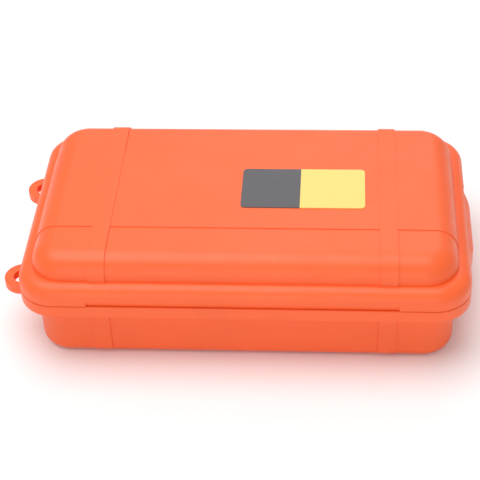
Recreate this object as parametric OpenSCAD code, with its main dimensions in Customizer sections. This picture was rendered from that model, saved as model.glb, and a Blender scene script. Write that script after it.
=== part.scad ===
// Pocket first aid kit: a shallow hinged box with a rubber seal and an end latch,
// stocked with bandages, tape, plasters, pads, wipes, scissors and tweezers.
// Millimetres, +Z up. The origin is the centre of the flat underside of the base.

/* [Case] */
// Length of the case over its rim
case_l = 154; // [154:1:170]
// Width of the case over its rim
case_w = 92; // [92:1:110]
// Height of the closed case, without the raised straps
case_h = 41.6; // [41:0.2:50]
// Height of the joint between base and lid
part_z = 26; // [26:0.5:30]
// Plan radius of the rim corners
rim_r = 13; // [13:0.5:13.5]
// Wall thickness of both shells
wall = 2.2; // [2.2:0.1:2.3]

/* [Rims] */
// How far the base wall stands in from the rim
base_inset = 5.2; // [5:0.1:5.2]
// How far the lid dome stands in from the rim
dome_inset = 4.6; // [4.5:0.1:4.9]
// Height of the rim on the base
base_rim_h = 4.6; // [4:0.1:5]
// Height of the rim on the lid
lid_rim_h = 7.4; // [7:0.1:8]

/* [Relief] */
// Width of the two raised straps across the case
strap_w = 6; // [4:0.5:8]
// Distance of each strap's middle from the case's middle
strap_x = 49; // [45:0.5:52]
// How far the straps stand proud
strap_up = 0.5; // [0.3:0.1:0.8]
// Width of the raised band along the lid
band_w = 44; // [36:1:50]
// How far the band stands proud
band_up = 0.25; // [0.2:0.05:0.4]

/* [Fittings] */
// Length of the hinge
hinge_l = 36; // [30:1:36]
// Length of the latch lever
latch_l = 36; // [30:1:38]
// Distance of each lanyard eye from the case's middle
eye_y = 25; // [25:0.5:28]
// Radius of the hole in each lanyard eye
eye_hole_r = 3.3; // [3:0.1:3.5]

/* [Hidden] */
$fn = 40;
orange = "#ff6a33";
steel = "#c4c8cc";
cloth = "#f4efe4";

// Shells
base_l = case_l - 2 * base_inset;
base_w = case_w - 2 * base_inset;
base_fillet = 4;
dome_l = case_l - 2 * dome_inset;
dome_w = case_w - 2 * dome_inset;
dome_fillet = 8;
rim_fillet = 4.5;
edge = 0.5;
// The walls turn their corners about centres further in than the rim's
wall_turn_r = rim_r + 3;
cavity_turn_r = rim_r + 1.5;
rim_gap = 0.12;
base_top = part_z - rim_gap / 2;
lid_low = part_z + rim_gap / 2;
base_rim_low = base_top - base_rim_h;
shoulder_z = lid_low + lid_rim_h;
cavity_x = base_l / 2 - wall;
cavity_y = base_w / 2 - wall;

// Finger rebate along the long sides of the lid
rebate_l = 2 * strap_x + strap_w + 1;
rebate_in = 0.9;
rebate_h = 2.6;

// Height at which the base straps begin
strap_foot = 0.8;

// Seal
seal_r = 1;
seal_in = 5.4;
groove_w = 2.2;
groove_depth = 1.6;
land_in = 3.3;
land_h = 0.45;

// Hinge at the -X end
hinge_in = 1.55;
hinge_x = -case_l / 2 + hinge_in;
hinge_z = part_z - 1.7;
hinge_pin_r = 1;
barrel_r = 1.9;
knuckle_gap = 0.3;
knuckle_pitch = hinge_l / 5;
hinge_clear = 0.25;
hinge_round_r = hinge_in + 0.06;
hinge_fit = 0.06;
arm_x = 1.8;
web_up = 1.2;

// Lanyard eyes beside the hinge
eye_x = -case_l / 2 - 1.1;
eye_r = 6.4;
eye_t = 2.8;
eye_top = part_z - 4.5;
eye_relief_r = 4.4;

// Latch at the +X end
latch_x = case_l / 2 - 2;
latch_z = part_z + 2.6;
latch_pin_r = 0.8;
latch_barrel_r = 1.7;
latch_fit = 0.06;
latch_pocket_in = 4;
latch_pocket_top = latch_z + 2;
latch_side_gap = 0.3;
latch_run = 4;
latch_proud = 2;
latch_clear = 0.2;
latch_end_r = 15;
latch_end_y = latch_l / 2 - 8;

// Label on the raised band
label_x0 = -2;
label_mid = 18.5;
label_x1 = 41;
label_w = 22;
label_t = 0.25;

// Supplies
lift = 0.2;
floor_z = wall + lift;
crepe_r = 12.1;
crepe_l = 66;
gauze_r = 11;
gauze_l = 43;
tape_r = 15.6;
tape_w = 12.5;
tape_bore_r = 7.6;
tape_core_r = 9.4;
tape_flange_t = 0.9;
stack_top = 16.8;
blanket = [76, 47, 7];
pad = [50, 49, 2.3];
wipe = [22, 45, 1.3];
plaster = [72, 17.2, 1.15];
scissors_x = 26;
scissors_y = 18.8;
blade_t = 1.1;
grip_t = 3.4;
tweezers_l = 78;

// Plan outline: a rectangle with true round corners.
module plan(l, w, r) {
    square([l - 2 * r, w], center = true);
    square([l, w - 2 * r], center = true);
    for (sx = [-1, 1], sy = [-1, 1])
        translate([sx * (l / 2 - r), sy * (w / 2 - r)])
            circle(r);
}

module slab(l, w, r, z0, z1) {
    translate([0, 0, z0])
        linear_extrude(z1 - z0)
            plan(l, w, r);
}

// The area outside a round edge of radius f, to take off a square corner.
module outside_round(f) {
    if (f > 0)
        difference() {
            square(f + 1);
            circle(f);
        }
}

// Section from the corner centres (u = 0) out to u1, with its two outer edges rounded.
module block(u1, z0, z1, f_low, f_high) {
    difference() {
        translate([0, z0])
            square([u1, z1 - z0]);
        translate([u1 - f_high, z1 - f_high])
            outside_round(f_high);
        translate([u1 - f_low, z0 + f_low])
            mirror([0, 1])
                outside_round(f_low);
    }
}

// Carries a section all round the case: along its four sides and around its corners,
// whose centres are r in from the rim.
module around_case(r = rim_r) {
    side_x = case_l / 2 - r;
    side_y = case_w / 2 - r;
    for (turn = [0, 1]) {
        rotate([0, 0, 180 * turn]) {
            translate([side_x, side_y, 0])
                rotate([90, 0, 0])
                    linear_extrude(2 * side_y)
                        children();
            translate([-side_x, side_y, 0])
                rotate([90, 0, 90])
                    linear_extrude(2 * side_x)
                        children();
            translate([side_x, side_y, 0])
                rotate_extrude(angle = 90)
                    children();
            translate([-side_x, side_y, 0])
                rotate([0, 0, 90])
                    rotate_extrude(angle = 90)
                        children();
        }
    }
}

// The middle of a body carried round with the same r.
module middle(r, z0, z1) {
    translate([r - case_l / 2, r - case_w / 2, z0])
        cube([case_l - 2 * r, case_w - 2 * r, z1 - z0]);
}

// A rounded tray or cover: the walls inset from the rim, and all that they enclose.
module body(r, inset, z0, z1, f_low, f_high) {
    around_case(r)
        block(r - inset, z0, z1, f_low, f_high);
    middle(r, z0, z1);
}

// Section across the case with two rounded upper corners, for the straps and the band.
module arch(w, z0, z1, f) {
    difference() {
        translate([-w / 2, z0])
            square([w, z1 - z0]);
        for (side = [0, 1])
            mirror([side, 0])
                translate([w / 2 - f, z1 - f])
                    outside_round(f);
    }
}

// A raised relief across the case: the arch over a shell, down to half its wall.
module relief_section(w, z0, z1, f, up) {
    depth = wall / 2;
    difference() {
        arch(w + 2 * up, z0, z1 + up, f + up);
        arch(w - 2 * depth, z0 - 1, z1 - depth, f - depth);
    }
}

module lanyard_eye(side) {
    // a tongue from the wall that ends in a round eye
    translate([0, side * eye_y, eye_top - eye_t]) {
        translate([eye_x, 0, 0])
            cylinder(r = eye_r, h = eye_t);
        translate([eye_x, -eye_r, 0])
            cube([base_inset + wall / 2 - case_l / 2 - eye_x, 2 * eye_r, eye_t]);
    }
}

module hinge_barrel(y0, y1, r) {
    translate([hinge_x, y0, hinge_z])
        rotate([-90, 0, 0])
            cylinder(r = r, h = y1 - y0);
}

// Knuckle i of 5 along the hinge, counted from -Y. Even ones are on the base.
function knuckle_y0(i) = -hinge_l / 2 + i * knuckle_pitch + (i == 0 ? 0 : knuckle_gap / 2);
function knuckle_y1(i) = -hinge_l / 2 + (i + 1) * knuckle_pitch - (i == 4 ? 0 : knuckle_gap / 2);

module base_knuckles() {
    color(orange)
        difference() {
            for (i = [0, 2, 4]) {
                hinge_barrel(knuckle_y0(i), knuckle_y1(i), barrel_r);
                translate([hinge_x, knuckle_y0(i), hinge_z - barrel_r])
                    cube([arm_x + hinge_clear + 0.3, knuckle_y1(i) - knuckle_y0(i), barrel_r + web_up]);
            }
            hinge_barrel(-hinge_l / 2 - 1, hinge_l / 2 + 1, hinge_pin_r);
        }
}

module lid_knuckles() {
    for (i = [1, 3]) {
        hinge_barrel(knuckle_y0(i), knuckle_y1(i), barrel_r);
        translate([-case_l / 2, knuckle_y0(i), hinge_z])
            cube([hinge_x + arm_x + case_l / 2, knuckle_y1(i) - knuckle_y0(i), lid_low - hinge_z + 2]);
    }
}

module base_rim() {
    around_case()
        block(rim_r, base_rim_low, base_top, edge, edge);
}

module seal_groove() {
    around_case()
        translate([rim_r - seal_in - groove_w / 2, base_top - groove_depth])
            square([groove_w, groove_depth + 1]);
}

// A rib of the base straps, up one long wall from the bottom edge to under the rim.
module base_strap(side) {
    translate([0, side * (case_w / 2 - rim_r), 0])
        mirror([0, side < 0 ? 1 : 0, 0])
            rotate([90, 0, 90])
                linear_extrude(strap_w, center = true)
                    difference() {
                        block(rim_r - base_inset + strap_up, strap_foot, base_rim_low + 1,
                              base_fillet - strap_foot, 0);
                        block(rim_r - base_inset - wall / 2, wall / 2, base_rim_low + 2,
                              base_fillet - wall / 2, 0);
                        translate([-1, -1])
                            square([rim_r - base_inset - base_fillet + 1, base_rim_low + 4]);
                    }
}

module base_shell() {
    color(orange)
        difference() {
            union() {
                body(wall_turn_r, base_inset, 0, base_top, base_fillet, 0);
                base_rim();
                for (sx = [-1, 1], side = [-1, 1])
                    translate([sx * strap_x, 0, 0])
                        base_strap(side);
                for (side = [-1, 1])
                    lanyard_eye(side);
            }
            body(cavity_turn_r, base_inset + wall, wall, base_top + 1, base_fillet - wall, 0);
            seal_groove();
            // pocket in the rim for the hinge
            translate([-case_l / 2 - 1, -hinge_l / 2 - knuckle_gap, base_rim_low - 1])
                cube([hinge_in + arm_x + hinge_clear + 1, hinge_l + 2 * knuckle_gap, base_rim_h + 2]);
            // the edge beside the hinge is rounded about its axis, so the lid swings clear
            difference() {
                translate([-case_l / 2 - 1, -case_w / 2, hinge_z])
                    cube([hinge_in + 1, case_w, base_rim_h]);
                hinge_barrel(-case_w / 2, case_w / 2, hinge_round_r);
            }
            for (side = [-1, 1]) {
                // room over the lanyard eye
                translate([eye_x, side * eye_y, eye_top])
                    cylinder(r = eye_relief_r, h = base_rim_h + 2);
                translate([eye_x, side * eye_y, eye_top - eye_t - 1])
                    cylinder(r = eye_hole_r, h = eye_t + 2);
            }
        }
    base_knuckles();
}

// Long wedge that the fingers reach into under the lid's rim.
module finger_rebate() {
    run = rebate_in + 1;
    translate([-rebate_l / 2, case_w / 2 - rebate_in, lid_low])
        rotate([90, 0, 90])
            linear_extrude(rebate_l)
                polygon([[0, -1], [run, -1], [run, rebate_h * run / rebate_in], [0, 0]]);
}

module lid_shell() {
    color(orange)
        difference() {
            union() {
                body(wall_turn_r, dome_inset, lid_low, case_h, 0, dome_fillet);
                around_case()
                    block(rim_r, lid_low, shoulder_z, edge, rim_fillet);
                for (sx = [-1, 1])
                    translate([sx * strap_x - strap_w / 2, 0, 0])
                        rotate([90, 0, 90])
                            linear_extrude(strap_w)
                                relief_section(dome_w, lid_low + 3, case_h, dome_fillet, strap_up);
                translate([0, band_w / 2, 0])
                    rotate([90, 0, 0])
                        linear_extrude(band_w)
                            relief_section(dome_l, lid_low + 3, case_h, dome_fillet, band_up);
                lid_knuckles();
            }
            body(wall_turn_r, dome_inset + wall, lid_low - 1, case_h - wall, 0, dome_fillet - wall);
            // land that presses on the seal
            around_case()
                translate([0, lid_low - 1])
                    square([rim_r - land_in, 1 + land_h]);
            for (side = [0, 1])
                rotate([0, 0, 180 * side])
                    finger_rebate();
            // room for the base knuckles
            for (i = [0, 2, 4])
                hinge_barrel(knuckle_y0(i) - knuckle_gap, knuckle_y1(i) + knuckle_gap, barrel_r + hinge_clear);
            hinge_barrel(-hinge_l / 2 - 1, hinge_l / 2 + 1, hinge_pin_r + hinge_fit);
            // pocket for the latch lever, and the seat of its pin
            translate([case_l / 2 - latch_pocket_in, -latch_l / 2 - latch_side_gap, lid_low - 1])
                cube([latch_pocket_in + 1, latch_l + 2 * latch_side_gap, latch_pocket_top - lid_low + 1]);
            translate([latch_x, 0, latch_z])
                rotate([90, 0, 0])
                    cylinder(r = latch_pin_r, h = latch_l + 2 * latch_run, center = true);
        }
}

module gasket() {
    color("#26272a")
        around_case()
            translate([rim_r - seal_in, base_top - groove_depth + seal_r])
                circle(seal_r);
}

module hinge_pin() {
    color(steel)
        hinge_barrel(-hinge_l / 2, hinge_l / 2, hinge_pin_r);
}

// Section of the latch lever about its pin: barrel, step over the rim, plate, snap nose, tip.
module latch_section() {
    step_z = base_top + 0.3 - latch_z;
    nose_z = base_rim_low - 0.5 - latch_z;
    inner = case_l / 2 + latch_clear - latch_x;
    outer = case_l / 2 + latch_proud - latch_x;
    nose = 0.1;
    circle(latch_barrel_r);
    polygon([
        [-1, 0], [-1, step_z], [inner, step_z],
        [inner, nose_z + 0.5], [inner - nose, nose_z], [inner - nose, nose_z - 0.4],
        [inner, nose_z - 0.9], [inner + 0.1, nose_z - 2.3], [inner + 0.6, nose_z - 2.6],
        [outer - 0.4, nose_z - 2.1], [outer, nose_z - 1.2], [outer, step_z - 1.7],
        [outer - 0.3, step_z - 0.84], [latch_barrel_r, -0.6]
    ]);
}

module latch_lever() {
    arc_x = case_l / 2 + latch_proud - latch_end_r;
    color(orange)
        difference() {
            intersection() {
                translate([latch_x, latch_l / 2, latch_z])
                    rotate([90, 0, 0])
                        linear_extrude(latch_l)
                            latch_section();
                // plan outline, with its ends curving in
                linear_extrude(case_h)
                    intersection() {
                        translate([arc_x, -latch_l / 2])
                            square([latch_end_r + 1, latch_l]);
                        union() {
                            translate([arc_x, -latch_end_y])
                                square([latch_end_r, 2 * latch_end_y]);
                            for (side = [-1, 1])
                                translate([arc_x, side * latch_end_y])
                                    circle(latch_end_r);
                        }
                    }
            }
            translate([latch_x, 0, latch_z])
                rotate([90, 0, 0])
                    cylinder(r = latch_pin_r + latch_fit, h = latch_l + 2, center = true);
        }
}

module latch_pin() {
    color(steel)
        translate([latch_x, 0, latch_z])
            rotate([90, 0, 0])
                cylinder(r = latch_pin_r, h = latch_l + 2 * latch_run - 1, center = true);
}

// Half of the two-tone label, rounded at its outer corners.
module label_half(x0, x1, round_low, round_high) {
    r = 1.6;
    translate([0, 0, case_h + band_up])
        linear_extrude(label_t) {
            translate([x0 + (round_low ? r : 0), -label_w / 2])
                square([x1 - x0 - r, label_w]);
            translate([x0, -label_w / 2 + r])
                square([x1 - x0, label_w - 2 * r]);
            for (s = [-1, 1])
                translate([round_high ? x1 - r : x0 + r, s * (label_w / 2 - r)])
                    circle(r);
        }
}

module label_dark() {
    color("#65606a")
        label_half(label_x0, label_mid, true, false);
}

module label_yellow() {
    color("#f2d648")
        label_half(label_mid, label_x1, false, true);
}

module roll(r, l, x, y) {
    translate([x, y, floor_z + r])
        rotate([90, 0, 0])
            cylinder(r = r, h = l, center = true);
}

crepe_x = -cavity_x + crepe_r + 0.5;
gauze_x = crepe_x + crepe_r + gauze_r + 0.5;
tape_x = crepe_x + crepe_r + tape_r + 0.5;
packet_x = cavity_x - blanket[0] / 2 - 1.8;
front_y = -cavity_y + 1.4;
rear_y = cavity_y - 1.4;

module crepe_bandage() {
    color(cloth)
        roll(crepe_r, crepe_l, crepe_x, 0);
}

module gauze_bandage() {
    color("#fbfaf5")
        roll(gauze_r, gauze_l, gauze_x, front_y + gauze_l / 2);
}

module tape_place() {
    translate([tape_x, rear_y - tape_r, floor_z])
        children();
}

module tape_spool() {
    color("#f6f6f4")
        tape_place()
            difference() {
                union() {
                    cylinder(r = tape_core_r, h = tape_w);
                    for (z = [0, tape_w - tape_flange_t])
                        translate([0, 0, z])
                            cylinder(r = tape_r, h = tape_flange_t);
                }
                translate([0, 0, -1])
                    cylinder(r = tape_bore_r, h = tape_w + 2);
            }
}

module tape_winding() {
    color("#f1ece0")
        tape_place()
            translate([0, 0, tape_flange_t + 0.05])
                difference() {
                    cylinder(r = tape_r - 0.7, h = tape_w - 2 * tape_flange_t - 0.1);
                    translate([0, 0, -1])
                        cylinder(r = tape_core_r + 0.05, h = tape_w + 2);
                }
}

module rescue_blanket() {
    color("#d9b45a")
        translate([packet_x, front_y + blanket[1] / 2, floor_z])
            slab(blanket[0], blanket[1], 4, 0, blanket[2]);
}

// A stack of n flat packets of one size, each turned a little.
module stack(size, n, z, turn) {
    for (i = [0 : n - 1])
        translate([0, 0, z + i * (size[2] + 0.06)])
            rotate([0, 0, turn * (i % 2 == 0 ? 1 : -1)])
                slab(size[0], size[1], 0.8, 0, size[2]);
}

module gauze_pads() {
    color("#f7f7f3")
        translate([packet_x + blanket[0] / 2 - pad[0] / 2 - 0.8, front_y + 0.6 + pad[1] / 2, 0])
            stack(pad, 3, floor_z + blanket[2] + 0.1, 0.6);
}

module wipe_sachets() {
    color("#3f7fc4")
        translate([packet_x - blanket[0] / 2 + wipe[0] / 2 + 0.6, front_y + 0.8 + wipe[1] / 2, 0])
            stack(wipe, 5, floor_z + blanket[2] + 0.1, 0.8);
}

module plaster_strips() {
    color("#f3e3cf")
        translate([packet_x - 0.5, front_y + pad[1] + 1.7 + plaster[1] / 2, 0])
            stack(plaster, 11, floor_z, 0.35);
}

// One blade in plan, tip at -X, about the rivet. The shank runs back into the grip.
module blade_plan() {
    polygon([
        [-36, -0.6], [-35.4, 0.5], [-24, 2.8], [-8, 4.2], [0, 4.4], [6, 2.2],
        [16, -2.6], [19, -5.6], [15, -8], [8, -4.6], [2, -3.4], [-6, -1.4], [-22, -0.9]
    ]);
}

// A finger loop on a short arm that holds the shank.
module grip_plan() {
    difference() {
        union() {
            for (x = [27, 31])
                translate([x, -9.4])
                    circle(9.1);
            polygon([[10.5, -8.4], [10.5, -0.6], [16, -0.3], [29, -0.3], [24, -14], [16, -11.4]]);
        }
        for (x = [27, 31])
            translate([x, -9.4])
                circle(6.3);
        translate([27, -15.7])
            square([4, 12.6]);
    }
}

module at_scissors(z) {
    translate([scissors_x, scissors_y, z])
        children();
}

scissors_low = stack_top + 0.8;
blade_low = scissors_low + grip_t / 2 - blade_t;

// The lower blade and its grip lie on the -Y side, the upper ones on the +Y side.
module scissors_blade_lower() {
    color(steel)
        at_scissors(blade_low)
            difference() {
                linear_extrude(blade_t)
                    blade_plan();
                translate([0, 0, -1])
                    cylinder(r = 1.25, h = 5);
            }
}

module scissors_blade_upper() {
    color(steel)
        at_scissors(blade_low + blade_t + 0.08)
            difference() {
                linear_extrude(blade_t)
                    mirror([0, 1])
                        blade_plan();
                translate([0, 0, -1])
                    cylinder(r = 1.31, h = 5);
            }
}

module scissors_grip(low) {
    at_scissors(scissors_low)
        difference() {
            linear_extrude(grip_t)
                grip_plan();
            translate([0, 0, low - 0.02])
                linear_extrude(blade_t + 0.04)
                    blade_plan();
        }
}

module scissors_grip_lower() {
    color("#2b6cb3")
        scissors_grip(blade_low - scissors_low);
}

module scissors_grip_upper() {
    color("#2b6cb3")
        at_scissors(scissors_low)
            mirror([0, 1, 0])
                difference() {
                    linear_extrude(grip_t)
                        grip_plan();
                    translate([0, 0, blade_low - scissors_low + blade_t + 0.06])
                        linear_extrude(blade_t + 0.04)
                            blade_plan();
                }
}

module scissors_rivet() {
    color("#9a9ea3")
        at_scissors(blade_low - 0.5) {
            cylinder(r = 1.25, h = 2 * blade_t + 1.2);
            cylinder(r = 2.1, h = 0.45);
            translate([0, 0, 2 * blade_t + 0.65])
                cylinder(r = 2.1, h = 0.45);
        }
}

// Two sprung arms joined at the -X end; their tips nearly meet.
module tweezers() {
    arm_h = 7;
    color(steel)
        translate([packet_x - tweezers_l / 2 - 2.4, rear_y - 3.1, floor_z])
            linear_extrude(arm_h)
                difference() {
                    polygon([
                        [0, -0.9], [0, 0.9], [14, 2.6], [60, 3], [tweezers_l, 0.4],
                        [tweezers_l, -0.4], [60, -3], [14, -2.6]
                    ]);
                    polygon([
                        [4, 0], [14, 1.6], [60, 2], [tweezers_l - 3, 0.05], [tweezers_l + 1, 0.05],
                        [tweezers_l + 1, -0.05], [tweezers_l - 3, -0.05], [60, -2], [14, -1.6]
                    ]);
                }
}

// One safety pin lying flat: two wires, the coil at one end, the cap at the other.
module safety_pin() {
    wire = 0.9;
    span = 4.4;
    reach = 26;
    linear_extrude(wire)
        difference() {
            union() {
                for (s = [-1, 1])
                    translate([0, s * span / 2 - wire / 2])
                        square([reach, wire]);
                circle(span / 2 + wire / 2);
            }
            circle(span / 2 - wire / 2);
        }
    translate([reach - 1, 0, 0])
        linear_extrude(1.5 * wire)
            plan(5, span + 2, 1.5);
}

module safety_pins() {
    color(steel)
        tape_place()
            for (i = [-1 : 1])
                translate([5 * i, -13, tape_w + 0.15])
                    rotate([0, 0, 90])
                        safety_pin();
}

base_shell();
lid_shell();
gasket();
hinge_pin();
latch_lever();
latch_pin();
label_dark();
label_yellow();
crepe_bandage();
gauze_bandage();
tape_spool();
tape_winding();
plaster_strips();
wipe_sachets();
gauze_pads();
rescue_blanket();
scissors_blade_lower();
scissors_blade_upper();
scissors_grip_lower();
scissors_grip_upper();
scissors_rivet();
tweezers();
safety_pins();
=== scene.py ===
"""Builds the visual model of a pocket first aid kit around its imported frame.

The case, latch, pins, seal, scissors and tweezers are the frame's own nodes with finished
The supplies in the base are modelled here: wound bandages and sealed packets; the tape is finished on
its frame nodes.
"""

import math
import random

import bmesh
import bpy
from bpy.props import (
    FloatProperty,
    FloatVectorProperty,
    PointerProperty,
)
from mathutils import Matrix, Vector, noise


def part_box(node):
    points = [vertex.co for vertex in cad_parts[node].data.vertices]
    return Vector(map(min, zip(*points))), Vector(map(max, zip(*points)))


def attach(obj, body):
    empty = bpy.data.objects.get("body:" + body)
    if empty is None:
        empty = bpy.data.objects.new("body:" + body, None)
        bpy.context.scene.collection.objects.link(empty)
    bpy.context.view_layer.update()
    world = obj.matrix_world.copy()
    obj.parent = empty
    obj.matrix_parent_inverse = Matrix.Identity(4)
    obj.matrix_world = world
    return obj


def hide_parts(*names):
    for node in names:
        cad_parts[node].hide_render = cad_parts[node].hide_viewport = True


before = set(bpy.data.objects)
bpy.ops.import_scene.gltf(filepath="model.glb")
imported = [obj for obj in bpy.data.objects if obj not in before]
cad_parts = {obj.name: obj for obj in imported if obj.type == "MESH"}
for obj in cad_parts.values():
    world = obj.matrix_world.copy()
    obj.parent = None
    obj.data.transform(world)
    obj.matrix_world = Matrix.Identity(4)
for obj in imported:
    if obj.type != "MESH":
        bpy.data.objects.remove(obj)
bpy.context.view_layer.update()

bl_info = {
    "name": "Pocket First Aid Kit",
    "version": (1, 0, 0),
    "blender": (4, 5, 0),
    "location": "View3D > Sidebar > First Aid",
    "description": "Builds a hinged first aid case with its seal, latch and supplies",
    "category": "Object",
}

MM = 0.001
FILM = 0.12 * MM
SIM_SCALE = 20
SIM_FRAMES = 20
FLOOR_DROP = 0.1 * MM
WORLD_STRENGTH = 0.48
LIGHTS = (
    # name, place, size, power
    ("Key_Light", (-0.2, 0.0, 0.95), 1.0, 6.8),
    ("Front_Light", (-0.1, -1.0, 0.3), 0.8, 2.0),
    ("Back_Light", (0.1, 0.9, 0.7), 0.8, 1.8),
)
CAMERA_PLACE = (0.03281, -0.41375, 0.36061)
CAMERA_YAW = -5.02
CAMERA_PITCH = 39.5
CAMERA_ROLL = 2.52


# --------------------------------------------------------------------------------------
# Properties
# --------------------------------------------------------------------------------------


def colour_property(name, description, default):
    return FloatVectorProperty(
        name=name, description=description, default=default,
        subtype="COLOR", size=3, min=0.0, max=1.0,
    )


def length_property(name, description, default):
    return FloatProperty(
        name=name, description=description, default=default, unit="LENGTH", min=0.0,
    )


class CaseSettings(bpy.types.PropertyGroup):
    shell_colour: colour_property(
        "Shell", "Colour of the moulded case", (0.97, 0.135, 0.03))
    seal_colour: colour_property(
        "Seal", "Colour of the rubber seal", (0.022, 0.022, 0.025))
    label_dark_colour: colour_property(
        "Label, dark half", "Colour of the label's dark half", (0.062, 0.058, 0.068))
    label_yellow_colour: colour_property(
        "Label, yellow half", "Colour of the label's yellow half", (0.92, 0.66, 0.15))
    shell_roughness: FloatProperty(
        name="Shell roughness", description="How dull the moulded case is",
        default=0.4, min=0.05, max=1.0, subtype="FACTOR")


class SupplySettings(bpy.types.PropertyGroup):
    crepe_colour: colour_property(
        "Crepe", "Colour of the crepe bandage", (0.66, 0.49, 0.33))
    gauze_colour: colour_property(
        "Gauze", "Colour of the gauze", (0.72, 0.71, 0.67))
    tape_colour: colour_property(
        "Tape", "Colour of the fabric tape", (0.68, 0.5, 0.36))
    sachet_colour: colour_property(
        "Wipe sachet", "Colour of the foil sachets", (0.05, 0.26, 0.52))
    blanket_colour: colour_property(
        "Rescue blanket", "Colour of the metallised film", (0.86, 0.6, 0.16))
    grip_colour: colour_property(
        "Scissor grips", "Colour of the finger loops", (0.03, 0.13, 0.36))
    crepe_ply: length_property(
        "Crepe ply", "Thickness of one turn of the crepe bandage", 0.62 * MM)
    gauze_ply: length_property(
        "Gauze ply", "Thickness of one turn of the gauze bandage", 0.46 * MM)
    packet_seal: length_property(
        "Packet seal", "Width of the pressed edge of the packets", 3.2 * MM)


class StageSettings(bpy.types.PropertyGroup):
    floor_colour: colour_property("Floor", "Colour of the floor", (0.96, 0.96, 0.96))
    lens: FloatProperty(
        name="Lens", description="Focal length of the camera", default=111.8,
        min=10.0, unit="CAMERA")
    floor_size: FloatProperty(
        name="Floor size", description="Length of each side of the floor", default=8.0,
        min=1.0, unit="LENGTH")


def case_settings():
    return bpy.context.scene.kit_case


def supply_settings():
    return bpy.context.scene.kit_supplies


# --------------------------------------------------------------------------------------
# Shader groups
# --------------------------------------------------------------------------------------


class Tree:
    """A small helper that adds and joins nodes in one node tree."""

    def __init__(self, tree):
        self.tree = tree

    def node(self, kind, inputs=None, **settings):
        made = self.tree.nodes.new(kind)
        for key, value in settings.items():
            setattr(made, key, value)
        for key, value in (inputs or {}).items():
            self.put(value, made.inputs[key])
        return made

    def put(self, value, socket):
        if isinstance(value, bpy.types.NodeSocket):
            self.tree.links.new(value, socket)
        else:
            socket.default_value = value

    def math(self, operation, a, b=0.0, clamp=False):
        made = self.node("ShaderNodeMath", {0: a, 1: b}, operation=operation)
        made.use_clamp = clamp
        return made.outputs[0]

    def remap(self, value, low, high, to_low=0.0, to_high=1.0):
        made = self.node("ShaderNodeMapRange", {
            "Value": value, "From Min": low, "From Max": high,
            "To Min": to_low, "To Max": to_high})
        return made.outputs[0]

    def mix(self, factor, a, b):
        made = self.node("ShaderNodeMix", data_type="RGBA")
        for key, value in ((0, factor), (6, a), (7, b)):
            self.put(value, made.inputs[key])
        return made.outputs[2]

    def noise(self, coordinates, scale, detail=3.0, roughness=0.5, distortion=0.0):
        return self.node("ShaderNodeTexNoise", {
            "Vector": coordinates, "Scale": scale, "Detail": detail,
            "Roughness": roughness, "Distortion": distortion}).outputs[0]


def new_group(name, inputs, outputs):
    group = bpy.data.node_groups.new(name, "ShaderNodeTree")
    for label, default in inputs:
        socket = group.interface.new_socket(
            name=label, in_out="INPUT", socket_type="NodeSocketFloat")
        socket.default_value = default
    for label in outputs:
        group.interface.new_socket(
            name=label, in_out="OUTPUT", socket_type="NodeSocketFloat")
    tree = Tree(group)
    start = tree.node("NodeGroupInput")
    end = tree.node("NodeGroupOutput")
    place = tree.node("ShaderNodeTexCoord").outputs["Object"]
    return tree, start.outputs, end.inputs, place


def grain_group():
    """Spark-eroded mould grain, with slow changes of tone from the flow of the plastic."""
    tree, given, made, place = new_group(
        "Moulded Grain", [("Scale", 2600.0)], ["Height", "Tone", "Smudge"])
    fine = tree.noise(place, given["Scale"], 2.0, 0.6)
    flow = tree.noise(place, 22.0, 3.0, 0.55, 0.6)
    smudge = tree.noise(place, 70.0, 5.0, 0.62, 1.4)
    tree.put(fine, made["Height"])
    tree.put(tree.remap(flow, 0.3, 0.7), made["Tone"])
    tree.put(tree.remap(smudge, 0.42, 0.72), made["Smudge"])
    return tree.tree


def scuff_group():
    """Fine hair scratches from handling, in two directions."""
    tree, given, made, place = new_group(
        "Handling Scuffs", [("Density", 0.5)], ["Mask"])
    marks = []
    for turn, stretch in ((0.6, (9.0, 420.0, 90.0)), (-1.1, (420.0, 8.0, 90.0))):
        turned = tree.node("ShaderNodeMapping", {
            "Vector": place, "Rotation": (0.0, 0.0, turn), "Scale": stretch})
        streak = tree.noise(turned.outputs[0], 3.0, 2.0, 0.5)
        marks.append(tree.remap(streak, 0.7, 0.76))
    patch = tree.remap(tree.noise(place, 34.0, 2.0), 0.5, 0.68)
    both = tree.math("MAXIMUM", marks[0], marks[1])
    tree.put(tree.math("MULTIPLY", tree.math("MULTIPLY", both, patch), given["Density"]),
             made["Mask"])
    return tree.tree


def weave_group():
    """Plain weave: warp and weft threads that pass over each other in turn, with a mask of the gaps
    between them that the cloth uses for painted shade.
    """
    tree, given, made, place = new_group(
        "Plain Weave", [("Threads", 900.0), ("Fuzz", 0.3)], ["Height", "Gap_Shade"])
    parts = tree.node("ShaderNodeSeparateXYZ", {"Vector": place}).outputs
    wobble = tree.math("MULTIPLY", tree.noise(place, 160.0, 2.0), 2.4)
    across = tree.math("ADD", parts["X"], parts["Z"])
    waves = []
    for run in (across, parts["Y"]):
        turns = tree.math("ADD", tree.math("MULTIPLY", run, given["Threads"]), wobble)
        waves.append(tree.math("SINE", turns))
    over = tree.math("MULTIPLY", waves[0], waves[1])
    ridge = tree.math("MAXIMUM", tree.math("ABSOLUTE", waves[0]),
                      tree.math("ABSOLUTE", waves[1]))
    fuzz = tree.math("MULTIPLY", tree.noise(place, 3200.0, 3.0, 0.7), given["Fuzz"])
    height = tree.math("ADD", tree.math("MULTIPLY", over, 0.5), ridge)
    tree.put(tree.math("ADD", height, fuzz), made["Height"])
    # Gap_Shade marks the low places between the threads, where the cloth's colour is painted darker as
    # shade.
    tree.put(tree.remap(ridge, 0.2, 0.55, 1.0, 0.0), made["Gap_Shade"])
    return tree.tree


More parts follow.
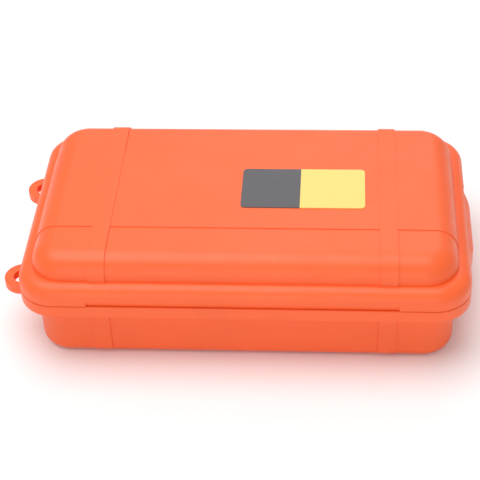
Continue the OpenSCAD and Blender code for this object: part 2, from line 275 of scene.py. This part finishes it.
def crinkle_group():
    """Creases of thin film or coated paper."""
    tree, given, made, place = new_group(
        "Film Creases", [("Scale", 160.0), ("Sharpness", 0.5)], ["Height", "Crease"])
    soft = tree.noise(place, given["Scale"], 4.0, 0.6, 1.2)
    ridges = []
    for turn in (0.4, 1.9):
        turned = tree.node("ShaderNodeMapping", {
            "Vector": place, "Rotation": (0.0, 0.0, turn), "Scale": (0.35, 1.0, 1.0)})
        fold = tree.noise(turned.outputs[0], given["Scale"], 1.0, 0.4, 0.6)
        ridges.append(tree.math("ABSOLUTE", tree.math("SUBTRACT", fold, 0.5)))
    nearest = tree.math("MINIMUM", ridges[0], ridges[1])
    ridge = tree.remap(nearest, 0.0, 0.05, 1.0, 0.0)
    sharp = tree.math("MULTIPLY", ridge, given["Sharpness"])
    tree.put(tree.math("ADD", tree.math("MULTIPLY", sharp, 0.4), soft), made["Height"])
    tree.put(ridge, made["Crease"])
    return tree.tree


def ground_steel_group():
    """Long fine grinding lines."""
    tree, given, made, place = new_group(
        "Ground Lines", [("Fineness", 1.0)], ["Height", "Tone"])
    stretched = tree.node("ShaderNodeMapping", {
        "Vector": place, "Scale": (30.0, 2600.0, 2600.0)})
    lines = tree.noise(stretched.outputs[0], given["Fineness"], 1.0, 0.5)
    tree.put(lines, made["Height"])
    tree.put(tree.remap(lines, 0.3, 0.7), made["Tone"])
    return tree.tree


GROUP_MAKERS = {
    "Moulded Grain": grain_group,
    "Handling Scuffs": scuff_group,
    "Plain Weave": weave_group,
    "Film Creases": crinkle_group,
    "Ground Lines": ground_steel_group,
}


def placed_group(tree, name, **values):
    """Puts one of the shared groups in a material, making it the first time."""
    group = bpy.data.node_groups.get(name) or GROUP_MAKERS[name]()
    made = tree.node("ShaderNodeGroup", node_tree=group)
    for key, value in values.items():
        tree.put(value, made.inputs[key])
    return made.outputs


# --------------------------------------------------------------------------------------
# Materials
# --------------------------------------------------------------------------------------


def rgba(colour, shade=1.0):
    return (*[min(1.0, c * shade) for c in colour[:3]], 1.0)


def new_material(name, **shader):
    """A material with its shader's plain sockets set; returns it with its tree and shader."""
    material = bpy.data.materials.new(name)
    material.use_nodes = True
    tree = Tree(material.node_tree)
    principled = material.node_tree.nodes["Principled BSDF"]
    for key, value in shader.items():
        principled.inputs[key.replace("_", " ")].default_value = value
    return material, tree, principled.inputs


def add_bump(tree, sockets, height, strength, distance):
    """Sends a height to the shader's normal, with its depth in metres."""
    bump = tree.node("ShaderNodeBump", {
        "Height": height, "Strength": strength, "Distance": distance})
    tree.put(bump.outputs[0], sockets["Normal"])


def moulded_plastic(name, colour, roughness, grain=2600.0, depth=0.02):
    material, tree, sockets = new_material(name, Specular_IOR_Level=0.45)
    flow = placed_group(tree, "Moulded Grain", Scale=grain)
    scuffs = placed_group(tree, "Handling Scuffs", Density=0.2)
    toned = tree.mix(flow["Tone"], rgba(colour, 0.955), rgba(colour, 1.03))
    tree.put(tree.mix(scuffs["Mask"], toned, rgba([c * 0.75 + 0.22 for c in colour])),
             sockets["Base Color"])
    dull = tree.remap(flow["Smudge"], 0.0, 1.0, roughness - 0.03, roughness + 0.07)
    tree.put(tree.math("ADD", dull, tree.math("MULTIPLY", scuffs["Mask"], 0.14)),
             sockets["Roughness"])
    height = tree.math("SUBTRACT", flow["Height"], tree.math("MULTIPLY", scuffs["Mask"], 0.8))
    add_bump(tree, sockets, height, 0.35, depth * MM)
    return material


def shell_plastic():
    settings = case_settings()
    return moulded_plastic(
        "Moulded_Orange_Plastic", settings.shell_colour, settings.shell_roughness)


def seal_rubber():
    material, tree, sockets = new_material("Seal_Rubber", Specular_IOR_Level=0.35)
    flow = placed_group(tree, "Moulded Grain", Scale=1800.0)
    base = case_settings().seal_colour
    tree.put(tree.mix(flow["Smudge"], rgba(base), rgba([c + 0.03 for c in base])),
             sockets["Base Color"])
    tree.put(tree.remap(flow["Tone"], 0.0, 1.0, 0.62, 0.8), sockets["Roughness"])
    add_bump(tree, sockets, flow["Height"], 0.4, 0.03 * MM)
    return material


def printed_film(name, colour):
    """Glossy label film over a printed ground: faint ink mottle and soft scuffs."""
    material, tree, sockets = new_material(
        name, Specular_IOR_Level=0.5, Coat_Roughness=0.12)
    flow = placed_group(tree, "Moulded Grain", Scale=1500.0)
    scuffs = placed_group(tree, "Handling Scuffs", Density=0.5)
    inked = tree.mix(flow["Height"], rgba(colour, 0.96), rgba(colour, 1.04))
    tree.put(tree.mix(scuffs["Mask"], inked, rgba([c * 0.8 + 0.15 for c in colour])),
             sockets["Base Color"])
    tree.put(tree.remap(flow["Smudge"], 0.0, 1.0, 0.3, 0.4), sockets["Roughness"])
    tree.put(tree.remap(scuffs["Mask"], 0.0, 1.0, 0.25, 0.05), sockets["Coat Weight"])
    add_bump(tree, sockets, flow["Tone"], 0.15, 0.06 * MM)
    return material


def ground_steel(name, tint, roughness):
    material, tree, sockets = new_material(name, Metallic=1.0)
    lines = placed_group(tree, "Ground Lines", Fineness=1.0)
    flow = placed_group(tree, "Moulded Grain", Scale=900.0)
    tree.put(tree.mix(lines["Tone"], rgba(tint, 0.92), rgba(tint, 1.04)), sockets["Base Color"])
    worn = tree.remap(flow["Smudge"], 0.0, 1.0, roughness, roughness + 0.08)
    tree.put(worn, sockets["Roughness"])
    add_bump(tree, sockets, lines["Height"], 0.15, 0.004 * MM)
    return material


def woven_cloth(name, colour, threads, depth, shade=0.72, sheen=0.25):
    material, tree, sockets = new_material(
        name, Specular_IOR_Level=0.2, Sheen_Weight=sheen, Sheen_Roughness=0.5)
    weave = placed_group(tree, "Plain Weave", Threads=threads, Fuzz=0.5)
    flow = placed_group(tree, "Moulded Grain", Scale=700.0)
    ground = tree.mix(flow["Tone"], rgba(colour, 0.95), rgba(colour, 1.05))
    # Painted shade: the cloth's colour darkens to its 'shade' factor in the gaps between the threads.
    tree.put(tree.mix(weave["Gap_Shade"], ground, rgba(colour, shade)), sockets["Base Color"])
    tree.put(tree.remap(flow["Height"], 0.0, 1.0, 0.8, 0.95), sockets["Roughness"])
    add_bump(tree, sockets, weave["Height"], 0.7, depth * MM)
    return material


def coated_paper(name, colour, roughness=0.45):
    material, tree, sockets = new_material(name, Specular_IOR_Level=0.4)
    crease = placed_group(tree, "Film Creases", Scale=210.0, Sharpness=0.25)
    flow = placed_group(tree, "Moulded Grain", Scale=1400.0)
    ground = tree.mix(flow["Tone"], rgba(colour, 0.96), rgba(colour, 1.03))
    # Painted shade: the paper's colour darkens a little along the creases.
    tree.put(tree.mix(tree.math("MULTIPLY", crease["Crease"], 0.1), ground, rgba(colour, 0.8)),
             sockets["Base Color"])
    tree.put(tree.remap(flow["Smudge"], 0.0, 1.0, roughness - 0.05, roughness + 0.12),
             sockets["Roughness"])
    height = tree.math("ADD", crease["Height"], tree.math("MULTIPLY", flow["Height"], 0.15))
    add_bump(tree, sockets, height, 0.3, 0.12 * MM)
    return material


def foil_laminate(name, colour, metallic, roughness, crease_scale, depth):
    material, tree, sockets = new_material(name, Metallic=metallic)
    crease = placed_group(tree, "Film Creases", Scale=crease_scale, Sharpness=0.7)
    flow = placed_group(tree, "Moulded Grain", Scale=1100.0)
    ground = tree.mix(flow["Tone"], rgba(colour, 0.92), rgba(colour, 1.06))
    tree.put(tree.mix(tree.math("MULTIPLY", crease["Crease"], 0.12), ground,
                      rgba([c * 0.8 + 0.15 for c in colour])), sockets["Base Color"])
    tree.put(tree.remap(flow["Smudge"], 0.0, 1.0, roughness, roughness + 0.14),
             sockets["Roughness"])
    add_bump(tree, sockets, crease["Height"], 0.55, depth * MM)
    return material


# --------------------------------------------------------------------------------------
# Mesh helpers
# --------------------------------------------------------------------------------------


def new_piece(name, vertices, faces, material, body, replaces=()):
    """Makes a smooth piece that rides on a body, fills a material slot and replaces nodes."""
    mesh = bpy.data.meshes.new(name)
    mesh.from_pydata(vertices, [], faces)
    mesh.validate()
    work = bmesh.new()
    work.from_mesh(mesh)
    bmesh.ops.remove_doubles(work, verts=work.verts, dist=0.002 * MM)
    bmesh.ops.recalc_face_normals(work, faces=work.faces)
    work.to_mesh(mesh)
    work.free()
    mesh.shade_smooth()
    mesh.materials.append(material)
    piece = bpy.data.objects.new(name, mesh)
    bpy.context.scene.collection.objects.link(piece)
    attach(piece, body)
    if replaces:
        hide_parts(*replaces)
    return piece


def dress(node, material, bevel=0.0):
    """Gives a frame node its finish and, where its edges are sharp, a small moulded round."""
    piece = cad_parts[node]
    piece.data.materials.clear()
    piece.data.materials.append(material)
    if bevel:
        rounded = piece.modifiers.new("Edge_Round", "BEVEL")
        rounded.width = bevel
        rounded.segments = 3
        rounded.limit_method = "ANGLE"
        rounded.angle_limit = math.radians(40)
        rounded.harden_normals = False
        piece.modifiers.new("Even_Normals", "WEIGHTED_NORMAL")
    return piece


def smoothstep(x):
    """Eases from 0 to 1 and stays level outside that range."""
    x = min(1.0, max(0.0, x))
    return x * x * (3 - 2 * x)


def band_positions(length, seal, steps_seal, steps_middle):
    """Places along one side of a packet, closer together over its two sealed edges."""
    edge = [-length / 2 + seal * i / steps_seal for i in range(steps_seal)]
    middle_start = -length / 2 + seal
    middle = [middle_start + (length - 2 * seal) * i / steps_middle
              for i in range(steps_middle + 1)]
    return edge + middle + [-x for x in reversed(edge)]


def packet_mesh(length, width, height, seal, side_seal, steps, fill, seed):
    """One sealed packet lying at the origin: a soft pillow between flat pressed edges.

    Returns its vertices, its faces and the numbers of the vertices on its pressed edges.
    """
    xs = band_positions(length, seal, 7, steps[0])
    ys = band_positions(width, side_seal, 4, steps[1])
    offset = Vector((seed * 7.31, seed * 3.17, seed * 1.93))
    vertices, faces, pressed, sides = [], [], [], {}
    for side in (1, -1):
        rows = []
        for y in ys:
            row = []
            for x in xs:
                inner_x = (length / 2 - seal - abs(x)) / (0.16 * length)
                inner_y = (width / 2 - side_seal - abs(y)) / (0.22 * width)
                swell = (smoothstep(inner_x) * smoothstep(inner_y)) ** 0.5
                wave = noise.noise(Vector((x, y, 0)) * 90 + offset)
                wave += 0.5 * noise.noise(Vector((x, y, 0)) * 230 - offset)
                z = side * (FILM + (height / 2 - FILM) * swell * (fill + 0.12 * wave))
                if min(inner_x, inner_y) <= 0:
                    pressed.append(len(vertices))
                row.append(len(vertices))
                vertices.append(Vector((x * (1 - 0.003 * wave), y * (1 - 0.003 * wave), z)))
            rows.append(row)
        sides[side] = rows
    for side, rows in sides.items():
        for j in range(len(ys) - 1):
            for i in range(len(xs) - 1):
                quad = (rows[j][i], rows[j][i + 1], rows[j + 1][i + 1], rows[j + 1][i])
                faces.append(quad if side > 0 else quad[::-1])
    top, low = sides[1], sides[-1]
    last_x, last_y = len(xs) - 1, len(ys) - 1
    for i in range(last_x):
        faces.append((top[0][i + 1], top[0][i], low[0][i], low[0][i + 1]))
        faces.append((top[last_y][i], top[last_y][i + 1], low[last_y][i + 1], low[last_y][i]))
    for j in range(last_y):
        faces.append((top[j][0], top[j + 1][0], low[j + 1][0], low[j][0]))
        faces.append((top[j + 1][last_x], top[j][last_x], low[j][last_x], low[j + 1][last_x]))
    return vertices, faces, pressed


def inflated(vertices, faces, pressed, slack, seed):
    """Blows the packet up as cloth held along its pressed edges, with some slack to crease."""
    scene = bpy.context.scene
    mesh = bpy.data.meshes.new("Inflated")
    jitter = random.Random(seed)
    mesh.from_pydata([v * SIM_SCALE + Vector((0, 0, jitter.uniform(-1, 1) * 0.004))
                      for v in vertices], [], faces)
    blown = bpy.data.objects.new("Inflated", mesh)
    scene.collection.objects.link(blown)
    blown.vertex_groups.new(name="Pressed").add(pressed, 1.0, "REPLACE")
    cloth = blown.modifiers.new("Cloth", "CLOTH")
    cloth.settings.vertex_group_mass = "Pressed"
    cloth.settings.quality = 6
    cloth.settings.mass = 0.3
    cloth.settings.tension_stiffness = 20
    cloth.settings.compression_stiffness = 20
    cloth.settings.bending_stiffness = 0.05
    cloth.settings.shrink_min = -slack
    cloth.settings.use_pressure = True
    cloth.settings.uniform_pressure_force = 4
    cloth.settings.effector_weights.gravity = 0
    cloth.collision_settings.use_collision = False
    cloth.point_cache.frame_start = 1
    cloth.point_cache.frame_end = SIM_FRAMES
    for frame_number in range(1, SIM_FRAMES + 1):
        scene.frame_set(frame_number)
    result = blown.evaluated_get(bpy.context.evaluated_depsgraph_get()).to_mesh()
    points = [v.co / SIM_SCALE for v in result.vertices]
    scene.frame_set(1)
    bpy.data.objects.remove(blown)
    bpy.data.meshes.remove(mesh)
    return points


def settled(start, blown, height, cap):
    """Caps how far each point moved, and keeps both films inside the packet's thickness."""
    points = []
    half = len(start) // 2
    for index, (old, new) in enumerate(zip(start, blown)):
        move = new - old
        if move.length > cap:
            move = move * (cap / move.length)
        point = old + move
        side = 1 if index < half else -1
        lift = min(height / 2, max(FILM, side * point.z))
        points.append(Vector((point.x, point.y, side * lift)))
    return points


def crimped(points, length, width, seal, side_seal, height):
    """Presses fine ribs into the end seals and lets the pressed edges curl a little."""
    for point in points:
        over_x = abs(point.x) - (length / 2 - seal)
        over_y = abs(point.y) - (width / 2 - side_seal)
        if over_x > 0:
            point.z += 0.06 * MM * math.sin(point.x / (0.28 * MM))
        if over_x > 0 or over_y > 0:
            point.z += 0.12 * height * noise.noise(Vector((point.x, point.y, 0)) * 130)
        point.z = max(-height / 2, min(height / 2, point.z))
    return points


def packet_stack(name, node, material, count, size, turn, seal, side_seal, seed,
                 steps, fill=0.86, slack=0.05):
    """A stack of like packets that fills the place its node holds."""
    low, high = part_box(node)
    centre = (low + high) / 2
    pitch = (high.z - low.z) / count
    height = pitch * 0.97
    length, width = size
    start, joined, pressed = packet_mesh(length, width, height, seal, side_seal, steps, fill, seed)
    shape = start
    blown = inflated(start, joined, pressed, slack, seed)
    shape = settled(start, blown, height, 0.6 * height)
    shape = crimped(shape, length, width, seal, side_seal, height)
    draw = random.Random(seed)
    vertices, faces = [], []
    for layer in range(count):
        shift = Vector((draw.uniform(-0.25, 0.25) * MM, draw.uniform(-0.2, 0.2) * MM, 0))
        place = Vector((centre.x, centre.y, low.z + pitch * (layer + 0.5))) + shift
        way = 1 if layer % 2 == 0 else -1
        spin = Matrix.Rotation(way * turn + math.pi * draw.randint(0, 1), 3, "Z")
        first = len(vertices)
        vertices += [spin @ point + place for point in shape]
        faces += [tuple(first + index for index in face) for face in joined]
    piece = new_piece(name, vertices, faces, material, "base", (node,))
    return piece


def wound_strip(name, node, material, ply, core, rows, ribs, seed, crinkle=0.3):
    """A bandage wound on itself along Y: one long strip whose end lies on the outside."""
    low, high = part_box(node)
    outer = (high.x - low.x) / 2 - 0.12 * MM
    centre_x, centre_z = (low.x + high.x) / 2, (low.z + high.z) / 2
    turns = (outer - core) / ply
    per_turn = 36
    count = int(turns * per_turn)
    thick = ply * 0.8
    draw = random.Random(seed)
    edge_shift = [draw.uniform(-0.35, 0.35) * MM for _ in range(int(turns) + 3)]
    half = (high.y - low.y) / 2 - 0.4 * MM
    vertices = []
    for i in range(count + 1):
        angle = 2 * math.pi * i / per_turn
        turn = i / per_turn
        which, part = int(turn), turn - int(turn)
        shift = edge_shift[which] * (1 - part) + edge_shift[which + 1] * part
        tail = smoothstep((count - i) / (0.12 * per_turn))
        for j in range(rows + 1):
            along = -half + 2 * half * j / rows
            y = along + shift
            around = Vector((math.cos(angle), math.sin(angle), 0.05 * turn))
            ripple = noise.noise(around * 2.5 + Vector((0, y * 300, seed)))
            ripple += 0.5 * noise.noise(around * 7 + Vector((0, y * 110, seed)))
            drift = noise.noise(around * 2 + Vector((0, y * 90, seed)))
            ripple += ribs * math.sin(y / (0.62 * MM) + 2 * drift)
            bump = crinkle * ply * ripple
            for skin in (0, 1):
                r = core + ply * turn + skin * thick * (0.25 + 0.75 * tail) + bump
                r = min(r, outer - (0 if skin else 0.25 * thick))
                vertices.append((
                    centre_x + r * math.cos(angle),
                    (low.y + high.y) / 2 + y,
                    centre_z + r * math.sin(angle)))
    faces = strip_faces(count, rows)
    piece = new_piece(name, vertices, faces, material, "base", (node,))
    return piece


def strip_faces(count, rows):
    """Joins a strip's outer and inner skins, its two long edges and its two ends."""
    faces = []
    width = 2 * (rows + 1)
    for i in range(count):
        a, b = i * width, (i + 1) * width
        for j in range(rows):
            for skin in (0, 1):
                p = 2 * j + skin
                quad = (a + p, b + p, b + p + 2, a + p + 2)
                faces.append(quad if skin else quad[::-1])
        faces.append((a, a + 1, b + 1, b))
        faces.append((a + width - 1, a + width - 2, b + width - 2, b + width - 1))
    for start in (0, count * width):
        for j in range(rows):
            p = start + 2 * j
            faces.append((p, p + 1, p + 3, p + 2))
    return faces


def safety_pin_path(x, start_y, end_y, coil_r, rise, leg_steps=6, coil_steps=24, turns=1.5):
    """The wire of one pin: down one leg, round its coil and up the other leg."""
    leg = start_y - end_y
    path = [Vector((x - coil_r, end_y + leg * t / leg_steps, 0)) for t in range(leg_steps + 1)]
    for step in range(1, coil_steps + 1):
        turn = math.pi + turns * 2 * math.pi * step / coil_steps
        path.append(Vector((x + coil_r * math.cos(turn), start_y + coil_r * math.sin(turn),
                            rise * step / coil_steps)))
    path += [Vector((x + coil_r, start_y - leg * t / leg_steps, rise * (1 - t / leg_steps)))
             for t in range(1, leg_steps + 1)]
    return path


def sweep_wire(vertices, faces, path, radius, sides=10):
    """Adds a round wire along a path, with closed ends."""
    start = len(vertices)
    for i, point in enumerate(path):
        ahead = path[min(i + 1, len(path) - 1)] - path[max(i - 1, 0)]
        ahead.normalize()
        side = ahead.cross(Vector((0, 0, 1))).normalized()
        up = side.cross(ahead)
        for k in range(sides):
            turn = 2 * math.pi * k / sides
            vertices.append(point + side * (radius * math.cos(turn)) + up * (radius * math.sin(turn)))
    for i in range(len(path) - 1):
        a, b = start + i * sides, start + (i + 1) * sides
        for k in range(sides):
            m = (k + 1) % sides
            faces.append((a + k, a + m, b + m, b + k))
    faces.append(tuple(start + k for k in reversed(range(sides))))
    faces.append(tuple(start + (len(path) - 1) * sides + k for k in range(sides)))


def add_cap(vertices, faces, centre, half):
    """Adds a rounded, flattened cap as a superellipsoid."""
    rings, sides, power = 14, 28, 0.45
    start = len(vertices)

    def soft(value):
        return math.copysign(abs(value) ** power, value)

    for i in range(rings + 1):
        tilt = -math.pi / 2 + math.pi * i / rings
        for k in range(sides):
            turn = 2 * math.pi * k / sides
            flat = abs(math.cos(tilt)) ** power
            vertices.append(centre + Vector((
                half.x * flat * soft(math.cos(turn)),
                half.y * flat * soft(math.sin(turn)),
                half.z * soft(math.sin(tilt)))))
    for i in range(rings):
        a, b = start + i * sides, start + (i + 1) * sides
        for k in range(sides):
            m = (k + 1) % sides
            faces.append((a + k, a + m, b + m, b + k))


# --------------------------------------------------------------------------------------
# Stage helpers
# --------------------------------------------------------------------------------------


def lay_floor(settings):
    half = settings.floor_size / 2
    mesh = bpy.data.meshes.new("Floor")
    mesh.from_pydata([(-half, -half, 0), (half, -half, 0), (half, half, 0), (-half, half, 0)],
                     [], [(0, 1, 2, 3)])
    floor = bpy.data.objects.new("Floor", mesh)
    floor.location.z = -FLOOR_DROP
    bpy.context.scene.collection.objects.link(floor)
    material, tree, sockets = new_material("Floor_Paper", Specular_IOR_Level=0.2)
    place = tree.node("ShaderNodeTexCoord").outputs["Object"]
    tone = tree.noise(place, 3.0)
    tree.put(tree.mix(tone, rgba(settings.floor_colour, 0.99), rgba(settings.floor_colour, 1.01)),
             sockets["Base Color"])
    sockets["Roughness"].default_value = 0.8
    mesh.materials.append(material)


def light_world(scene):
    world = bpy.data.worlds.new("Studio")
    world.use_nodes = True
    background = world.node_tree.nodes["Background"]
    background.inputs["Color"].default_value = (1.0, 1.0, 1.0, 1.0)
    background.inputs["Strength"].default_value = WORLD_STRENGTH
    scene.world = world


def soft_light(name, place, size, power):
    light = bpy.data.lights.new(name, "AREA")
    light.shape = "DISK"
    light.size = size
    light.energy = power
    lamp = bpy.data.objects.new(name, light)
    lamp.location = place
    lamp.rotation_euler = (Vector((0, 0, 0.02)) - Vector(place)).to_track_quat("-Z", "Y").to_euler()
    bpy.context.scene.collection.objects.link(lamp)


def kit_camera(settings):
    """Stands the camera in front of the case and above it, turned and rolled a little."""
    yaw, pitch, roll = map(math.radians, (CAMERA_YAW, CAMERA_PITCH, CAMERA_ROLL))
    ahead = Vector((math.sin(yaw) * math.cos(pitch), math.cos(yaw) * math.cos(pitch), -math.sin(pitch)))
    level = Vector((math.cos(yaw), -math.sin(yaw), 0))
    down = ahead.cross(level)
    right = level * math.cos(roll) + down * math.sin(roll)
    up = level * math.sin(roll) - down * math.cos(roll)
    camera = bpy.data.objects.new("Camera", bpy.data.cameras.new("Camera"))
    turn = Matrix((right, up, -ahead)).transposed()
    camera.matrix_world = Matrix.Translation(CAMERA_PLACE) @ turn.to_4x4()
    camera.data.lens = settings.lens
    camera.data.clip_start = 0.01
    bpy.context.scene.collection.objects.link(camera)
    return camera


# --------------------------------------------------------------------------------------
# Operators
# --------------------------------------------------------------------------------------


class KIT_OT_case(bpy.types.Operator):
    """Finishes the base, the lid and the latch lever in moulded plastic"""

    bl_idname = "kit.case"
    bl_label = "Case and Latch"

    def execute(self, context):
        plastic = shell_plastic()
        for node in ("base_shell", "lid_shell", "latch_lever"):
            dress(node, plastic)
        return {"FINISHED"}


class KIT_OT_fittings(bpy.types.Operator):
    """Finishes the rubber seal and the hinge and latch pins"""

    bl_idname = "kit.fittings"
    bl_label = "Seal and Pins"

    def execute(self, context):
        dress("gasket", seal_rubber())
        wire = ground_steel("Pin_Steel", (0.72, 0.73, 0.74), 0.2)
        for node in ("hinge_pin", "latch_pin"):
            dress(node, wire)
        return {"FINISHED"}


class KIT_OT_label(bpy.types.Operator):
    """Finishes the two halves of the blank label"""

    bl_idname = "kit.label"
    bl_label = "Label"

    def execute(self, context):
        settings = case_settings()
        dress("label_dark", printed_film("Label_Dark_Film", settings.label_dark_colour))
        dress("label_yellow", printed_film("Label_Yellow_Film", settings.label_yellow_colour))
        return {"FINISHED"}


class KIT_OT_bandages(bpy.types.Operator):
    """Winds the crepe and gauze bandages"""

    bl_idname = "kit.bandages"
    bl_label = "Bandage Rolls"

    def execute(self, context):
        settings = supply_settings()
        crepe = woven_cloth("Crepe_Cloth", settings.crepe_colour, 5200.0, 0.16)
        wound_strip("crepe_bandage_roll", "crepe_bandage", crepe,
                    ply=settings.crepe_ply, core=1.4 * MM, rows=48, ribs=0.5, seed=11)
        gauze = woven_cloth("Gauze_Cloth", settings.gauze_colour, 3900.0, 0.14, 0.6)
        wound_strip("gauze_bandage_roll", "gauze_bandage", gauze,
                    ply=settings.gauze_ply, core=1.0 * MM, rows=30, ribs=0.0, seed=23)
        return {"FINISHED"}


class KIT_OT_tape(bpy.types.Operator):
    """Finishes the tape spool and its winding"""

    bl_idname = "kit.tape"
    bl_label = "Tape"

    def execute(self, context):
        dress("tape_spool", moulded_plastic("Spool_Plastic", (0.7, 0.7, 0.68), 0.32), 0.25 * MM)
        dress("tape_winding", woven_cloth("Tape_Cloth", supply_settings().tape_colour, 4200.0, 0.05))
        return {"FINISHED"}


class KIT_OT_plasters(bpy.types.Operator):
    """Stacks the wrapped plaster strips"""

    bl_idname = "kit.plasters"
    bl_label = "Plaster Strips"

    def execute(self, context):
        wrap = coated_paper("Plaster_Wrap", (0.72, 0.68, 0.6))
        packet_stack("plaster_strip_packets", "plaster_strips", wrap,
                     count=11, size=(72 * MM, 17.2 * MM), turn=math.radians(0.35),
                     seal=5 * MM, side_seal=1.6 * MM, seed=100, steps=(30, 12), fill=0.7)
        return {"FINISHED"}


class KIT_OT_wipes(bpy.types.Operator):
    """Stacks the foil sachets of antiseptic wipes"""

    bl_idname = "kit.wipes"
    bl_label = "Wipe Sachets"

    def execute(self, context):
        settings = supply_settings()
        foil = foil_laminate("Sachet_Foil", settings.sachet_colour, 0.35, 0.28, 130.0, 0.2)
        packet_stack("wipe_sachet_stack", "wipe_sachets", foil,
                     count=5, size=(22 * MM, 45 * MM), turn=math.radians(0.8),
                     seal=settings.packet_seal, side_seal=settings.packet_seal,
                     seed=200, steps=(18, 36))
        return {"FINISHED"}


class KIT_OT_pads(bpy.types.Operator):
    """Stacks the wrapped gauze pads"""

    bl_idname = "kit.pads"
    bl_label = "Gauze Pads"

    def execute(self, context):
        wrap = coated_paper("Pad_Wrap", (0.6, 0.68, 0.72), 0.5)
        packet_stack("gauze_pad_packets", "gauze_pads", wrap,
                     count=3, size=(50 * MM, 49 * MM), turn=math.radians(0.6),
                     seal=4 * MM, side_seal=3 * MM, seed=300, steps=(44, 44))
        return {"FINISHED"}


class KIT_OT_blanket(bpy.types.Operator):
    """Makes the folded rescue blanket in its film bag"""

    bl_idname = "kit.blanket"
    bl_label = "Rescue Blanket"

    def execute(self, context):
        film = foil_laminate("Blanket_Film", supply_settings().blanket_colour, 0.9, 0.2, 95.0, 0.5)
        packet_stack("rescue_blanket_pack", "rescue_blanket", film,
                     count=1, size=(76 * MM, 47 * MM), turn=0.0, seal=3 * MM,
                     side_seal=1.2 * MM, seed=400, steps=(60, 44), slack=0.07)
        return {"FINISHED"}


class KIT_OT_tools(bpy.types.Operator):
    """Finishes the scissors and the tweezers"""

    bl_idname = "kit.tools"
    bl_label = "Scissors and Tweezers"

    def execute(self, context):
        steel = ground_steel("Blade_Steel", (0.6, 0.61, 0.62), 0.24)
        for node in ("scissors_blade_lower", "scissors_blade_upper", "tweezers"):
            dress(node, steel, 0.15 * MM)
        dress("scissors_rivet", steel, 0.12 * MM)
        grips = moulded_plastic("Grip_Plastic", supply_settings().grip_colour, 0.3)
        for node in ("scissors_grip_lower", "scissors_grip_upper"):
            dress(node, grips, 0.9 * MM)
        return {"FINISHED"}


class KIT_OT_safety_pins(bpy.types.Operator):
    """Bends the safety pins from wire and puts on their caps"""

    bl_idname = "kit.safety_pins"
    bl_label = "Safety Pins"

    def execute(self, context):
        low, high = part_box("safety_pins")
        wire_r, coil_r, rise, spacing = 0.4 * MM, 1.9 * MM, 0.5 * MM, 5 * MM
        start_y, end_y = low.y + 3 * MM, high.y - 2.6 * MM
        lift = Vector((0, 0, low.z + 0.62 * MM))
        cap_half = Vector((2.9 * MM, 2.1 * MM, 0.75 * MM))
        steel = ground_steel("Safety_Pin_Steel", (0.74, 0.74, 0.73), 0.16)
        vertices, faces = [], []
        for place in (-1, 0, 1):
            x = (low.x + high.x) / 2 + place * spacing
            path = safety_pin_path(x, start_y, end_y, coil_r, rise)
            sweep_wire(vertices, faces, [point + lift for point in path], wire_r)
            add_cap(vertices, faces, Vector((x, end_y + wire_r, 0)) + lift, cap_half)
        new_piece("safety_pin_set", vertices, faces, steel, "base", ("safety_pins",))
        return {"FINISHED"}


class KIT_OT_stage(bpy.types.Operator):
    """Lays the floor, hangs the soft lights and sets up the camera"""

    bl_idname = "kit.stage"
    bl_label = "Stage"

    def execute(self, context):
        scene = context.scene
        settings = scene.kit_stage
        lay_floor(settings)
        scene.view_settings.view_transform = "Standard"
        light_world(scene)
        for light in LIGHTS:
            soft_light(*light)
        scene.camera = kit_camera(settings)
        return {"FINISHED"}


# --------------------------------------------------------------------------------------
# Panel and registration
# --------------------------------------------------------------------------------------


OPERATORS = (
    KIT_OT_case,
    KIT_OT_fittings,
    KIT_OT_label,
    KIT_OT_bandages,
    KIT_OT_tape,
    KIT_OT_plasters,
    KIT_OT_wipes,
    KIT_OT_pads,
    KIT_OT_blanket,
    KIT_OT_tools,
    KIT_OT_safety_pins,
    KIT_OT_stage,
)


class KIT_PT_panel(bpy.types.Panel):
    bl_idname = "KIT_PT_panel"
    bl_label = "First Aid Kit"
    bl_space_type = "VIEW_3D"
    bl_region_type = "UI"
    bl_category = "First Aid"

    def draw(self, context):
        layout = self.layout
        for settings in (context.scene.kit_case, context.scene.kit_supplies, context.scene.kit_stage):
            box = layout.box()
            for name in settings.__annotations__:
                box.prop(settings, name)
        for operator in OPERATORS:
            layout.operator(operator.bl_idname)


SETTINGS = (CaseSettings, SupplySettings, StageSettings)


def register():
    for made in (*SETTINGS, *OPERATORS, KIT_PT_panel):
        bpy.utils.register_class(made)
    bpy.types.Scene.kit_case = PointerProperty(type=CaseSettings)
    bpy.types.Scene.kit_supplies = PointerProperty(type=SupplySettings)
    bpy.types.Scene.kit_stage = PointerProperty(type=StageSettings)


def unregister():
    for name in ("kit_case", "kit_supplies", "kit_stage"):
        delattr(bpy.types.Scene, name)
    for made in reversed((*SETTINGS, *OPERATORS, KIT_PT_panel)):
        bpy.utils.unregister_class(made)


def main():
    register()
    for operator in OPERATORS:
        group, name = operator.bl_idname.split(".")
        getattr(getattr(bpy.ops, group), name)()


if __name__ == "__main__":
    main()
